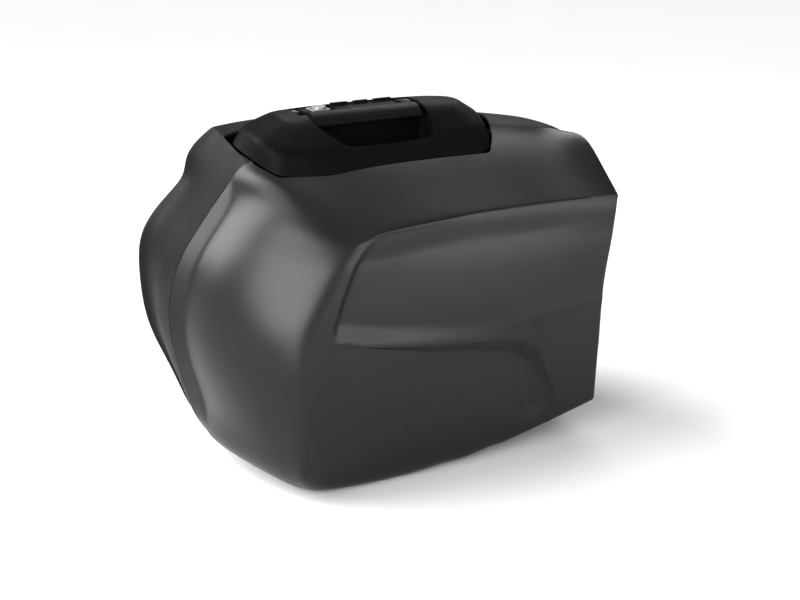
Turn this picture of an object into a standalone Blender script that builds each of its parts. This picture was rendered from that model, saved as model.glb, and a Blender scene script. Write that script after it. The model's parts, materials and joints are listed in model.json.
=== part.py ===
"""Left-hand hard saddlebag: a painted lid hinged along its lower edge to a black inner shell.

Axes in metres: X runs to the rear of the motorcycle, -Y points outboard, +Z is up.
The origin is below the middle of the case, on the surface that it stands on.
Tables of points are in millimetres, as MM says.
"""

import math

import bmesh
import bpy
from mathutils import Matrix, Vector

MM = 0.001
GAP = 0.3  # clearance between pieces that touch
WALL = 3.0  # moulded wall of the two half shells and the handle console
SUBDIVISION = 1

# The parting plane leans outboard with height.
PARTING_Y = 54.5
PARTING_LEAN = 0.18
PARTING_GAP = 1.4

# Outline of the case on the parting plane, as (X, Z), side by side round the case.
OUTLINE_BOTTOM = ((-186, 20), (-112, 6), (-42, 5), (30, 5), (100, 5), (155, 7), (205, 13), (241, 30))
OUTLINE_REAR = ((249, 70), (253, 125), (257, 190), (259, 235), (260, 265), (261, 295), (261, 325))
OUTLINE_TOP = (
    (256, 349), (219, 358), (165, 365.5), (95, 369), (20, 370), (-50, 369), (-112, 366), (-160, 358),
)
OUTLINE_FRONT = ((-180, 338), (-197, 315), (-216, 287), (-237, 249), (-247, 190), (-235, 125), (-216, 66))
HINGE_GROOVE = 9.0  # both shells step up here, along the bottom of the parting line

# Every row of a face runs through its front, middle and rear point.
COLUMN_SHARES = (0.0, 0.13, 0.30, 0.48, 0.65, 0.80, 0.92, 1.0)
LID_FACE = (
    ((-150, -110, 6), (35, -115, 4), (236, -119, 41)),
    ((-158, -123, 60), (35, -129, 57), (237, -121, 80)),
    ((-162, -129, 125), (35, -135, 120), (238, -123, 122)),
    ((-161, -130, 188), (35, -137, 184), (240, -123, 184)),
    ((-136, -128, 236), (40, -135, 234), (248, -122, 232)),
    ((-121, -127, 260), (40, -132, 260), (253, -120, 256)),
    ((-110, -124, 276), (40, -129, 279), (256, -119, 274)),
    ((-100, -121, 286), (40, -126, 293), (258, -117, 286)),
    ((-92, -117, 292), (40, -122, 301), (259, -115, 293)),
)
LID_FRONT_FOOT = (-150, -110, 14)  # the face's lower front corner stands above its row
LID_BAND_TOP = (-174, -18.5, 333)  # the front band narrows here towards its top end
BACK_FACE = (
    ((-186, 98, 28), (30, 98, 13), (232, 98, 36)),
    ((-209, 114, 84), (30, 118, 70), (244, 113, 84)),
    ((-234, 117, 150), (30, 119, 140), (250, 117, 140)),
    ((-241, 117, 215), (30, 119, 200), (253, 117, 195)),
    ((-235, 116, 262), (30, 119, 250), (253, 115, 240)),
    ((-210, 113, 297), (30, 118, 285), (251, 113, 275)),
    ((-187, 110, 323), (30, 112, 315), (246, 108, 305)),
    ((-181, 104, 350), (30, 102, 353), (240, 98, 332)),
    ((-160, 88, 377), (30, 88, 379), (232, 84, 351)),
)
# How far a wall has come in from the parting outline at each share of its depth.
LID_DEPTHS = (0.12, 0.37, 0.70)
LID_INSETS = {
    "front": (0.145, 0.24, 0.52),
    "top": (0.12, 0.345, 0.69),
    "rear": (0.0, 0.10, 0.40),
    "bottom": (0.0, 0.10, 0.35),
}
BACK_DEPTHS = (0.15, 0.50, 0.85)
BACK_INSETS = {
    "front": (0.05, 0.35, 0.90),
    "top": (0.15, 0.50, 0.85),
    "rear": (0.05, 0.30, 0.80),
    "bottom": (0.02, 0.20, 0.60),
}
# Rise of the inner shell's top over a straight run between parting line and back.
BACK_CROWN = (4.0, 7.0, 5.0)
# The lid's four corner lines, from the parting line out to the face.
LID_CORNERS = {
    ("bottom", "front"): ((-192, 31, 21), (-187, -9, 19), (-169, -62, 13)),
    ("bottom", "rear"): ((241, 30, 27), (240, -8, 29), (238, -66, 35)),
    ("top", "rear"): ((259, -23, 350), (259.5, -50, 347), (258.5, -83, 321)),
    ("top", "front"): ((-158.5, -23, 352), (-145, -50, 342), (-117, -85, 318)),
}
FITTING_ROUNDS = 4  # passes that move a cage until its rounded surface meets its points

# Handle console, as rings of (X, Y, Z) from the skirt up to the crown.
CONSOLE_SKIRT = (
    (-158, 56, 373), (-159, 14, 366.5), (-153, -17, 358), (-138, -43, 346), (-80, -50, 342), (-10, -50, 343),
    (60, -50, 343), (121, -50, 346), (140, -25, 357), (158, 15, 366), (169, 56, 367), (90, 57, 366),
    (0, 57, 366), (-90, 57, 366),
)
CONSOLE_WALL = (
    (-146, 54, 387), (-149, 14, 386), (-151, -18, 382), (-131, -39, 370), (-80, -38, 366), (-10, -37, 362),
    (60, -37, 365), (112, -39, 370), (130, -20, 377), (147, 15, 381), (156, 54, 380), (90, 56, 391),
    (0, 56, 392), (-90, 56, 391),
)
CONSOLE_CROWN = (
    (-106, 50, 399), (-111, 20, 399), (-110, 2, 397), (-103, -4, 396), (-78, -3, 397), (-10, -1, 399),
    (60, -1, 400), (98, -5, 399), (112, 2, 398), (122, 20, 397), (125, 50, 396), (90, 52, 400),
    (0, 52, 401), (-90, 52, 400),
)
CONSOLE_CLEARANCE = 1.5  # dark gap between the console's skirt and the lid's notch

# Finger recess, bay of the handle mechanism and the moulded tray below both.
RECESS_X = (-79, 64)
RECESS_Y = (-34, 16)
BAY_X = (-86, 67)
BAY_Y = (12, 47)
TRAY_X = (-88, 76)
TRAY_Y = (-36, 46)
TRAY_Z = (348, 384)
TRAY_WALL = 2.5
FINGER_FLOOR = 351
BAY_FLOOR = 374

# Joint axes, as (Y, Z) of lines that run along X.
LID_HINGE = (55.0, 7.0)
HANDLE_PIVOT = (38.0, 392.0)
LEVER_PIVOT = (30.0, 391.0)
LATCH_PIVOT = (-30.0, 331.0)
PAWL_PIVOT = (129.0, 282.0)
LOCK_AXIS = (-54.5, 31.0)  # (X, Y) of the vertical lock barrel

CONSOLE_FLOOR_Z = 359.3
BOSS_TOP = 368.0
CONSOLE_SCREWS = ((-125, 66), (-60, 66), (40, 66), (125, 66))
HINGE_X = {"front": -62, "rear": 112}
HINGE_WIDTH = 44
KNUCKLE_RADIUS = 4.5
HINGE_PIN_RADIUS = 2.0
HOOK_X = {"front": -74, "rear": 66}
ARM_X = {"front": (-77, -68), "rear": (47, 57)}
LEVER_X = (-37, 40)
MOUNT_PLATE_Y = (119.9, 123.9)
MOUNT_LAND_X = {"front": (-40, -12), "rear": (42, 70)}  # raised faces that lie on the carrier
MOUNT_LAND_Y = 127.0
MOUNT_HOOK_X = {"front": -115, "rear": 150}

SEAL_INSET = 6.3  # from the rim's outer edge to the middle of the bead
SEAL_LIFT = 1.8  # further in along the bottom, over the hinge leaves
SEAL_LIFT_BELOW_Z = 20.0
SEAL_RADIUS = 2.0
STRAP_X = {"front": -190, "rear": 230}
STRAP_CASE_Y = 24.0
STRAP_LID_Y = -8.0
STRAP_TOP_Z = 252.0
STRAP_FOLD_Z = 120.0
STRAP_WALL_X = {"front": {"case": -229, "lid": -212}, "rear": {"case": 252, "lid": 252}}
FOOT_RADIUS = 11.0
HANDLE_BORE_RADIUS = 2.8  # clearance holes for the pins of the handle and the lever
HANDLE_PIN_RADIUS = 2.4
STRAP_THICKNESS = 1.6
STRAP_HALF_WIDTH = 10
CLIP_THICKNESS = 2.0
FLOOR_Z = -4.3  # the surface that the feet stand on, before the shift below
CASE_SHIFT = (-7.7, 0.0, -FLOOR_Z)  # brings the origin below the middle of the case, onto that surface


def clear_scene():
    for obj in list(bpy.data.objects):
        bpy.data.objects.remove(obj)


def collection(name):
    made = bpy.data.collections.new(name)
    bpy.context.scene.collection.children.link(made)
    return made


def material(name, colour, roughness, metallic=0.0):
    made = bpy.data.materials.new(name)
    made.use_nodes = True
    shader = made.node_tree.nodes["Principled BSDF"]
    shader.inputs["Base Color"].default_value = (*colour, 1.0)
    shader.inputs["Roughness"].default_value = roughness
    shader.inputs["Metallic"].default_value = metallic
    return made


def metres(point):
    return Vector(point) * MM


def add_object(name, mesh, finish=None):
    """A part with its finish, or a cutter when it has none."""
    obj = bpy.data.objects.new(name, mesh)
    if finish is None:
        CUTTERS.objects.link(obj)
        obj.hide_render = True
        obj.display_type = "WIRE"
    else:
        PARTS.objects.link(obj)
        obj.data.materials.append(finish)
    return obj


def mesh_from(bm, name):
    mesh = bpy.data.meshes.new(name)
    bm.to_mesh(mesh)
    bm.free()
    return mesh


def box(name, low, high, finish=None, bevel=0.0):
    """A box between two corners, in millimetres, with its origin at its middle."""
    bm = bmesh.new()
    bmesh.ops.create_cube(bm, size=1.0)
    size = (metres(high) - metres(low)).to_tuple()
    bmesh.ops.scale(bm, vec=size, verts=bm.verts)
    if bevel:
        bmesh.ops.bevel(bm, geom=bm.edges[:], offset=bevel * MM, segments=2, profile=0.5, affect="EDGES")
    obj = add_object(name, mesh_from(bm, name), finish)
    obj.location = (metres(low) + metres(high)) / 2
    return obj


def cylinder(name, start, end, radius, finish=None, segments=24):
    """A cylinder from one point to another, in millimetres."""
    axis = metres(end) - metres(start)
    bm = bmesh.new()
    bmesh.ops.create_cone(
        bm, cap_ends=True, segments=segments, radius1=radius * MM, radius2=radius * MM, depth=axis.length
    )
    obj = add_object(name, mesh_from(bm, name), finish)
    obj.location = (metres(start) + metres(end)) / 2
    obj.rotation_euler = axis.to_track_quat("Z", "Y").to_euler()
    return obj


def bar_along_x(name, profile, x_range, finish=None):
    """A closed outline of (Y, Z) points, extruded along X."""
    bm = bmesh.new()
    base = [bm.verts.new(metres((x_range[0], y, z))) for y, z in profile]
    face = bm.faces.new(base)
    moved = bmesh.ops.extrude_face_region(bm, geom=[face])
    top = [item for item in moved["geom"] if isinstance(item, bmesh.types.BMVert)]
    bmesh.ops.translate(bm, verts=top, vec=((x_range[1] - x_range[0]) * MM, 0, 0))
    bmesh.ops.recalc_face_normals(bm, faces=bm.faces)
    return add_object(name, mesh_from(bm, name), finish)


def arc(centre, radius, start, end, steps):
    """Points of (Y, Z) along an arc, with angles in degrees."""
    angles = [math.radians(start + (end - start) * i / steps) for i in range(steps + 1)]
    return [(centre[0] + radius * math.cos(a), centre[1] + radius * math.sin(a)) for a in angles]


def boolean(obj, cutter, operation="DIFFERENCE"):
    step = obj.modifiers.new(operation.lower() + "_" + cutter.name, "BOOLEAN")
    step.operation = operation
    step.object = cutter
    return step


def cut(obj, cutter):
    return boolean(obj, cutter)


def join(obj, helper):
    return boolean(obj, helper, "UNION")


def subdivide(obj, levels=SUBDIVISION):
    step = obj.modifiers.new("rounding", "SUBSURF")
    step.levels = levels
    step.render_levels = levels
    return step


def solidify(obj, thickness=WALL):
    step = obj.modifiers.new("wall", "SOLIDIFY")
    step.thickness = thickness * MM
    step.offset = -1.0
    step.use_even_offset = True
    return step


def smooth(obj, angle=35.0):
    obj.data.shade_smooth()
    obj.data.set_sharp_from_angle(angle=math.radians(angle))


def parting_y(z):
    return PARTING_Y - PARTING_LEAN * z


def along_row(row, share):
    """The point at this share of the parabola through a row's front, middle and rear."""
    front, middle, rear = (Vector(point) for point in row)
    weights = ((1 - share) * (1 - 2 * share), 4 * share * (1 - share), share * (2 * share - 1))
    return front * weights[0] + middle * weights[1] + rear * weights[2]


def boundary_order(rows, columns):
    """Grid indices of a face's border, with the side each belongs to, matching the outline's order."""
    bottom = [((0, c), "bottom") for c in range(columns)]
    rear = [((r, columns - 1), "rear") for r in range(1, rows - 1)]
    top = [((rows - 1, c), "top") for c in reversed(range(columns))]
    front = [((r, 0), "front") for r in reversed(range(1, rows - 1))]
    return bottom + rear + top + front


def corner_position(face_rows, column, row=-1):
    """Where a corner of the face stands in the order of its boundary."""
    rows, columns = len(face_rows), len(COLUMN_SHARES)
    order = [index for index, _ in boundary_order(rows, columns)]
    return order.index((row % rows, column % columns))


def corner_sides(rows, columns):
    return {
        (0, 0): ("bottom", "front"),
        (0, columns - 1): ("bottom", "rear"),
        (rows - 1, columns - 1): ("top", "rear"),
        (rows - 1, 0): ("top", "front"),
    }


def tub_cage(face_rows, depths, insets, crowns, corner_lines, rim_offset):
    """Half a case as an open cage: a face grid and the wall rings out to the parting line."""
    rows = len(face_rows)
    columns = len(COLUMN_SHARES)
    order = boundary_order(rows, columns)
    corners = corner_sides(rows, columns)
    outline = OUTLINE_BOTTOM + OUTLINE_REAR + OUTLINE_TOP + OUTLINE_FRONT
    bm = bmesh.new()
    grid = [[bm.verts.new(along_row(row, share) * MM) for share in COLUMN_SHARES] for row in face_rows]
    rings = []
    for level in range(-1, len(depths)):
        ring = []
        for (index, side), (x, z) in zip(order, outline):
            sides = corners.get(index, (side, side))
            rim = Vector((x, parting_y(z) + rim_offset, z))
            face = grid[index[0]][index[1]].co / MM
            if level < 0:
                point = rim
                if sides == ("bottom", "bottom"):
                    point = rim + Vector((0, 0, HINGE_GROOVE))
            elif sides in corner_lines:
                point = Vector(corner_lines[sides][level])
            else:
                inset = sum(insets[s][level] for s in sides) / 2
                point = rim.lerp(face, inset)
                point.y = rim.y + (face.y - rim.y) * depths[level]
                point.z += crowns[level] * sides.count("top") / 2
            ring.append(bm.verts.new(point * MM))
        rings.append(ring)
    rings.append([grid[r][c] for (r, c), _ in order])
    for r in range(rows - 1):
        for c in range(columns - 1):
            bm.faces.new((grid[r][c], grid[r][c + 1], grid[r + 1][c + 1], grid[r + 1][c]))
    for outer, inner in zip(rings, rings[1:]):
        for i in range(len(outer)):
            j = (i + 1) % len(outer)
            bm.faces.new((outer[i], outer[j], inner[j], inner[i]))
    bmesh.ops.recalc_face_normals(bm, faces=bm.faces)
    middle = grid[3][3]
    if middle.link_faces[0].normal.y * middle.co.y < 0:
        bmesh.ops.reverse_faces(bm, faces=bm.faces)
    return bm, grid, rings


def pass_through_points(obj):
    """Moves the cage until its rounded surface runs through the points that it was made from."""
    wanted = [vertex.co.copy() for vertex in obj.data.vertices]
    for _ in range(FITTING_ROUNDS):
        rounded = obj.evaluated_get(bpy.context.evaluated_depsgraph_get()).data
        missed = [point - rounded.vertices[i].co for i, point in enumerate(wanted)]
        for vertex, miss in zip(obj.data.vertices, missed):
            vertex.co += miss
        obj.data.update()


def half_space(name, side):
    """Everything beyond the parting gap, on the lid's side (-1) or the inner shell's side (+1)."""
    block = box(name, (-300, 0, -300), (300, 200, 500))
    lean = math.atan(PARTING_LEAN)
    offset = side * PARTING_GAP / 2
    foot = Vector((0, PARTING_Y + offset, 0))
    normal = Vector((0, math.cos(lean), math.sin(lean)))
    block.rotation_euler = (lean, 0, 0)
    block.location = metres(foot + normal * (-side) * 100)
    return block


def crease(bm, chain, values):
    """Sharpen the edges of a chain of vertices, from the first value to the last."""
    layer = bm.edges.layers.float.get("crease_edge") or bm.edges.layers.float.new("crease_edge")
    steps = len(chain) - 1
    for i in range(steps):
        edge = bm.edges.get((chain[i], chain[i + 1]))
        share = i / max(1, steps - 1)
        edge[layer] = values[0] + (values[1] - values[0]) * share


def console_outline(grow):
    """Plan outline of the console's skirt, grown outward."""
    points = [Vector(point) for point in CONSOLE_SKIRT]
    centre = Vector((5, 5, 0))
    front = [(p.x - grow, p.y - (grow if p.y < 0 else 0)) for p in points[1:4]]
    side = [(p.x, p.y - grow) for p in points[4:7]]
    rear = [(p.x + grow, p.y - (grow if p.y < centre.y else 0)) for p in points[7:10]]
    inboard_y = points[12].y + grow
    inboard = [(points[10].x + grow, inboard_y), (points[0].x - grow, inboard_y)]
    return front + side + rear + inboard


def prism(name, outline, z_range, finish=None):
    """A closed outline of (X, Y) points, extruded upward."""
    bm = bmesh.new()
    base = [bm.verts.new(metres((x, y, z_range[0]))) for x, y in outline]
    face = bm.faces.new(base)
    moved = bmesh.ops.extrude_face_region(bm, geom=[face])
    top = [item for item in moved["geom"] if isinstance(item, bmesh.types.BMVert)]
    bmesh.ops.translate(bm, verts=top, vec=(0, 0, (z_range[1] - z_range[0]) * MM))
    bmesh.ops.recalc_face_normals(bm, faces=bm.faces)
    return add_object(name, mesh_from(bm, name), finish)


def hinge_pockets(obj):
    """Openings for the hinge knuckles in the lower rim of a half shell."""
    y, z = LID_HINGE
    half = HINGE_WIDTH / 2 + 1.5
    reach = KNUCKLE_RADIUS + 1.2
    for end, x in HINGE_X.items():
        name = f"cut_hinge_{end}"
        pocket = bpy.data.objects.get(name)
        if pocket is None:
            pocket = box(name, (x - half, y - reach, z - 12), (x + half, y + reach, z + 16))
        cut(obj, pocket)


def make_lid():
    bm, grid, rings = tub_cage(LID_FACE, LID_DEPTHS, LID_INSETS, (0, 0, 0), LID_CORNERS, -PARTING_GAP / 2)
    grid[0][0].co = metres(LID_FRONT_FOOT)
    rings[1][-7].co = metres(LID_BAND_TOP)
    last = len(COLUMN_SHARES) - 1
    crease(bm, grid[-1], (0.0, 1.0))
    crease(bm, grid[0], (0.0, 0.8))
    crease(bm, [row[last] for row in grid], (0.8, 0.8))
    rear_top = corner_position(LID_FACE, -1)
    crease(bm, [ring[rear_top] for ring in rings], (0.3, 0.3))
    rear_foot = corner_position(LID_FACE, -1, 0)
    crease(bm, [ring[rear_foot] for ring in rings[2:]], (0.8, 0.8))
    band = rings[1]
    crease(bm, band[-8:] + band[:1], (0.0, 0.7))
    lid = add_object("lid_shell", mesh_from(bm, "lid_shell"), PAINT)
    subdivide(lid)
    pass_through_points(lid)
    solidify(lid)
    cut(lid, half_space("cut_lid_rim", -1))
    cut(lid, prism("cut_console_notch", console_outline(CONSOLE_CLEARANCE), (325, 430)))
    hinge_pockets(lid)
    smooth(lid)
    return lid


def make_inner_shell():
    bm, grid, rings = tub_cage(BACK_FACE, BACK_DEPTHS, BACK_INSETS, BACK_CROWN, {}, PARTING_GAP / 2)
    front_top = corner_position(BACK_FACE, 0)
    crease(bm, [ring[front_top] for ring in rings], (0.6, 0.6))
    shell = add_object("inner_shell", mesh_from(bm, "inner_shell"), BLACK_PLASTIC)
    subdivide(shell)
    pass_through_points(shell)
    case_rim = rim_loop(shell)
    solidify(shell)
    cut(shell, half_space("cut_case_rim", 1))
    hinge_pockets(shell)
    cut(shell, bpy.data.objects["cut_console_notch"])
    smooth(shell)
    return shell, case_rim


def make_console():
    """Moulded cover that carries the handle: open below, with a finger recess and a bay on top."""
    bm = bmesh.new()
    rings = [
        [bm.verts.new(metres(point)) for point in ring]
        for ring in (CONSOLE_SKIRT, CONSOLE_WALL, CONSOLE_CROWN)
    ]
    count = len(CONSOLE_SKIRT)
    for outer, inner in zip(rings, rings[1:]):
        for i in range(count):
            j = (i + 1) % count
            bm.faces.new((outer[i], outer[j], inner[j], inner[i]))
    top = rings[-1]
    # The crown is bridged across from its outboard side to its inboard side.
    bm.faces.new((top[1], top[2], top[3], top[0]))
    bm.faces.new((top[0], top[3], top[4], top[13]))
    bm.faces.new((top[13], top[4], top[5], top[12]))
    bm.faces.new((top[12], top[5], top[6], top[11]))
    bm.faces.new((top[11], top[6], top[7], top[10]))
    bm.faces.new((top[10], top[7], top[8], top[9]))
    bmesh.ops.recalc_face_normals(bm, faces=bm.faces)
    crown = max(bm.faces, key=lambda f: f.calc_center_median().z)
    if crown.normal.z < 0:
        bmesh.ops.reverse_faces(bm, faces=bm.faces)
    crease(bm, rings[0] + rings[0][:1], (1.0, 1.0))
    crease(bm, rings[1] + rings[1][:1], (0.4, 0.4))
    crease(bm, rings[2] + rings[2][:1], (0.35, 0.35))
    for i in (2, 3, 7, 8, 10):
        crease(bm, [ring[i] for ring in rings], (0.3, 0.3))
    console = add_object("handle_console", mesh_from(bm, "handle_console"), BLACK_GRAINED)
    subdivide(console)
    solidify(console)
    recess = prism(
        "cut_finger_recess",
        (
            (RECESS_X[0], RECESS_Y[1]), (RECESS_X[0], -12), (-52, RECESS_Y[0]), (54, RECESS_Y[0]),
            (RECESS_X[1], -24), (RECESS_X[1], RECESS_Y[1]),
        ),
        (340, 430),
    )
    cut(console, recess)
    bay = box("cut_mechanism_bay", (BAY_X[0], BAY_Y[0], 383), (BAY_X[1], BAY_Y[1], 430))
    cut(console, bay)
    smooth(console)
    return console


def slope_cutter(name):
    """Everything above a plane just below the console's sloping outboard face."""
    low, high = (-37.0, 357.0), (-1.0, 391.0)
    slope = math.atan2(high[1] - low[1], high[0] - low[0])
    block = box(name, (-200, -100, 0), (200, 60, 60))
    block.location = metres((0, low[0] - 30 * math.sin(slope), low[1] + 30 * math.cos(slope)))
    block.rotation_euler = (slope, 0, 0)
    return block


def make_tray():
    tray = box("finger_tray", (TRAY_X[0], TRAY_Y[0], TRAY_Z[0]), (TRAY_X[1], TRAY_Y[1], TRAY_Z[1]), BLACK_GRAINED)
    low_x, high_x = TRAY_X[0] + TRAY_WALL, TRAY_X[1] - TRAY_WALL
    finger = box("cut_finger_pocket", (low_x, TRAY_Y[0] + TRAY_WALL, FINGER_FLOOR), (high_x, 17, 400))
    bay = box("cut_bay_pocket", (low_x, 20, BAY_FLOOR), (high_x, TRAY_Y[1] - TRAY_WALL, 400))
    below = box("cut_bay_underside", (-200, 22, 330), (200, 60, BAY_FLOOR - TRAY_WALL))
    for cutter in (finger, bay, below, slope_cutter("cut_tray_slope")):
        cut(tray, cutter)
    return tray


def make_console_floor():
    """Plate that closes the notch from below and reaches under the inner shell's top wall."""
    step_y = -8.5
    profile = (
        (-41, 344), (step_y + 2.5, 344), (step_y + 2.5, 360), (step_y, 360), (step_y, 346.5), (-41, 346.5),
    )
    floor = box("console_floor", (-146, step_y, CONSOLE_FLOOR_Z), (137, 72, CONSOLE_FLOOR_Z + 2.5), BLACK_PLASTIC)
    join(floor, bar_along_x("join_floor_step", profile, (-116, 110)))
    for i, (x, y) in enumerate(CONSOLE_SCREWS):
        join(floor, cylinder(f"join_floor_boss_{i}", (x, y, CONSOLE_FLOOR_Z + 1), (x, y, BOSS_TOP), 7))
    room = box(
        "cut_floor_for_tray", (TRAY_X[0] - 1, TRAY_Y[0] - 1, TRAY_Z[0] - 0.5), (TRAY_X[1] + 1, TRAY_Y[1] + 1, 400)
    )
    cut(floor, room)
    for i, (x, y) in enumerate(CONSOLE_SCREWS):
        cut(floor, cylinder(f"cut_floor_screw_{i}", (x, y, 350), (x, y, BOSS_TOP - 1.5), 2.3))
        head_z = (CONSOLE_FLOOR_Z - 3.3, CONSOLE_FLOOR_Z - GAP)
        screw = cylinder(f"console_screw_{i + 1}", (x, y, head_z[0]), (x, y, head_z[1]), 4.5, STEEL)
        thread = cylinder(f"join_screw_{i}", (x, y, CONSOLE_FLOOR_Z - 1), (x, y, BOSS_TOP - 3), 2.0, None, 12)
        join(screw, thread)
        cut(screw, box(f"cut_screw_slot_{i}", (x - 4, y - 0.5, 350), (x + 4, y + 0.5, CONSOLE_FLOOR_Z - 2)))
    return floor


def make_carry_handle():
    grip = (
        [(-9, 390.5), (-2, 397.2), (4, 399.8), (15, 400.4), (15, 388)]
        + [(11, 386), (2, 384.5), (-4, 384.5), (-8, 387)]
    )
    handle = bar_along_x("carry_handle", grip, (ARM_X["front"][0], ARM_X["rear"][1]), GREY_PLASTIC)
    y, z = HANDLE_PIVOT
    for end, span in ARM_X.items():
        profile = [(12, 388), (12, 399.6), (y - 1, 399.6)] + arc(HANDLE_PIVOT, 6.5, 75, -105, 8) + [(y - 4, 388)]
        arm = bar_along_x(f"join_arm_{end}", profile, span)
        join(handle, arm)
    bore = cylinder("cut_handle_bore", (-95, y, z), (75, y, z), HANDLE_BORE_RADIUS)
    cut(handle, bore)
    bevel = handle.modifiers.new("edge", "BEVEL")
    bevel.width = 0.8 * MM
    bevel.segments = 1
    bevel.limit_method = "ANGLE"
    bevel.angle_limit = math.radians(50)
    handle.modifiers.move(len(handle.modifiers) - 1, 0)
    return handle


def make_handle_hinge():
    y, z = HANDLE_PIVOT
    for end, span in ARM_X.items():
        if end == "front":
            cheek = (span[0] - 7.5, span[0] - 1.5)
            reach = (cheek[0], span[1] + 1.0)
        else:
            cheek = (span[1] + 1.5, span[1] + 7.5)
            reach = (span[0] - 1.0, cheek[1])
        bracket = box(
            f"handle_bracket_{end}", (cheek[0], y - 7, BAY_FLOOR + GAP), (cheek[1], y + 5, z + 6), DARK_METAL
        )
        start, finish = (cheek[0] - 5, y, z), (cheek[1] + 5, y, z)
        cut(bracket, cylinder(f"cut_bracket_{end}", start, finish, HANDLE_BORE_RADIUS))
        cylinder(f"handle_pin_{end}", (reach[0], y, z), (reach[1], y, z), HANDLE_PIN_RADIUS, STEEL, 16)


def make_release_lever():
    y, z = LEVER_PIVOT
    profile = (
        (18.5, 394.5), (18.5, 397), (22, 399), (33, 399.5), (35, 403.5), (38, 403.5), (39, 398.5),
        (43, 397), (43, 393.5), (36, 392), (35, 387), (25, 387), (24, 392.5),
    )
    lever = bar_along_x("release_lever", profile, LEVER_X, BLACK_GRAINED)
    cut(lever, cylinder("cut_lever_bore", (-60, y, z), (60, y, z), HANDLE_BORE_RADIUS))
    # Gaps in the ridge leave three finger knobs.
    for i, x in enumerate((-16, 10)):
        cut(lever, box(f"cut_lever_ridge_{i}", (x, 33.2, 399.6), (x + 8, 45, 410)))
    cylinder("lever_shaft", (LEVER_X[0] - 4.5, y, z), (LEVER_X[1] + 5, y, z), HANDLE_PIN_RADIUS, STEEL, 16)
    for end, x in (("front", LEVER_X[0] - 4.6), ("rear", LEVER_X[1] + 1.0)):
        block = box(
            f"lever_bearing_{end}", (x, y - 6, BAY_FLOOR + GAP), (x + 3.6, y + 6, z + 5), DARK_METAL
        )
        cut(block, cylinder(f"cut_bearing_{end}", (x - 3, y, z), (x + 7, y, z), HANDLE_BORE_RADIUS))


def make_lock():
    x, y = LOCK_AXIS
    housing = box("lock_housing", (x - 11.5, 21, BAY_FLOOR + GAP), (x + 11.3, 42.5, 399.5), LIGHT_PLASTIC, 1.5)
    cut(housing, cylinder("cut_lock_bore", (x, y, 382), (x, y, 410), 8.4, None, 32))
    barrel = cylinder("lock_barrel", (x, y, 382.5), (x, y, 402), 8.0, SATIN_METAL, 32)
    cut(barrel, box("cut_key_slot", (x - 4.5, y - 0.9, 390), (x + 4.5, y + 0.9, 410)))


def make_latch():
    """Turning shaft below the console, with a hook at each end that holds the lid's strikers."""
    y, z = LATCH_PIVOT
    shaft = cylinder("latch_shaft", (-121, y, z), (111, y, z), 4.0, STEEL, 16)
    for end, x in HOOK_X.items():
        profile = arc(LATCH_PIVOT, 6.5, 90, -60, 6) + [
            (y - 20, z - 10.5), (y - 30, z - 10.5), (y - 33, z - 8), (y - 33, z), (y - 30.5, z),
            (y - 29.5, z - 5.8), (y - 20, z - 6), (y - 8, z),
        ]
        hook = bar_along_x(f"join_hook_{end}", profile, (x - 2.5, x + 2.5))
        join(shaft, hook)
    for end, span in (("front", (-118, -110)), ("rear", (100, 108))):
        block = box(
            f"latch_bearing_{end}", (span[0], y - 7.5, z - 7), (span[1], y + 7.5, 344 - GAP), BLACK_PLASTIC
        )
        cut(block, cylinder(f"cut_latch_bore_{end}", (span[0] - 3, y, z), (span[1] + 3, y, z), 4.4))
    return shaft


def make_strikers():
    """Slotted plates below the lid's top wall; a hook's tip stands in each slot."""
    y, z = LATCH_PIVOT
    for end, x in HOOK_X.items():
        base = ((y - 23.5, z), (y - 36, z - 6), (y - 36, z - 8.5), (y - 23.5, z - 2.5))
        striker = bar_along_x(f"striker_{end}", base, (x - 12, x + 12), STEEL)
        window = box(f"cut_striker_{end}", (x - 5, y - 34.5, z - 20), (x + 5, y - 27.5, z + 20))
        cut(striker, window)


def make_hinges():
    """Leaf hinges in the groove below the parting line: outer knuckles on the case, middle on the lid."""
    y, z = LID_HINGE
    for end, x in HINGE_X.items():
        half = HINGE_WIDTH / 2
        spans = ((x - half, x - half / 3 - 0.4), (x + half / 3 + 0.4, x + half))
        (first, second) = [((low, y, z), (high, y, z)) for low, high in spans]
        bracket = cylinder(f"hinge_bracket_{end}", *first, KNUCKLE_RADIUS, STEEL, 20)
        join(bracket, cylinder(f"join_knuckle_{end}", *second, KNUCKLE_RADIUS, None, 20))
        case_leaf = (
            (y + 1.5, z + 1), (y + 1.5, z + 12), (y + 5, z + 12), (y + 26, z + 9.2),
            (y + 26, z + 7.4), (y + 4.6, z + 10.2), (y + 4.5, z + 1),
        )
        lid_leaf = [(2 * y - py, pz) for py, pz in case_leaf]
        for index, span in enumerate(spans):
            join(bracket, bar_along_x(f"join_case_leaf_{end}_{index}", case_leaf, span))
        bridge = box(f"join_case_bridge_{end}", (spans[0][0], y + 20, z + 7.4), (spans[1][1], y + 26, z + 9))
        join(bracket, bridge)
        middle = (x - half / 3, x + half / 3)
        leaf = cylinder(f"hinge_leaf_{end}", (middle[0], y, z), (middle[1], y, z), KNUCKLE_RADIUS, STEEL, 20)
        join(leaf, bar_along_x(f"join_lid_leaf_{end}", lid_leaf, middle))
        bore = cylinder(f"cut_hinge_pin_{end}", (x - half - 3, y, z), (x + half + 3, y, z), HINGE_PIN_RADIUS + 0.3)
        cut(bracket, bore)
        cut(leaf, bore)
        cylinder(f"hinge_pin_{end}", (x - half, y, z), (x + half, y, z), HINGE_PIN_RADIUS, SATIN_METAL, 16)


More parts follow.
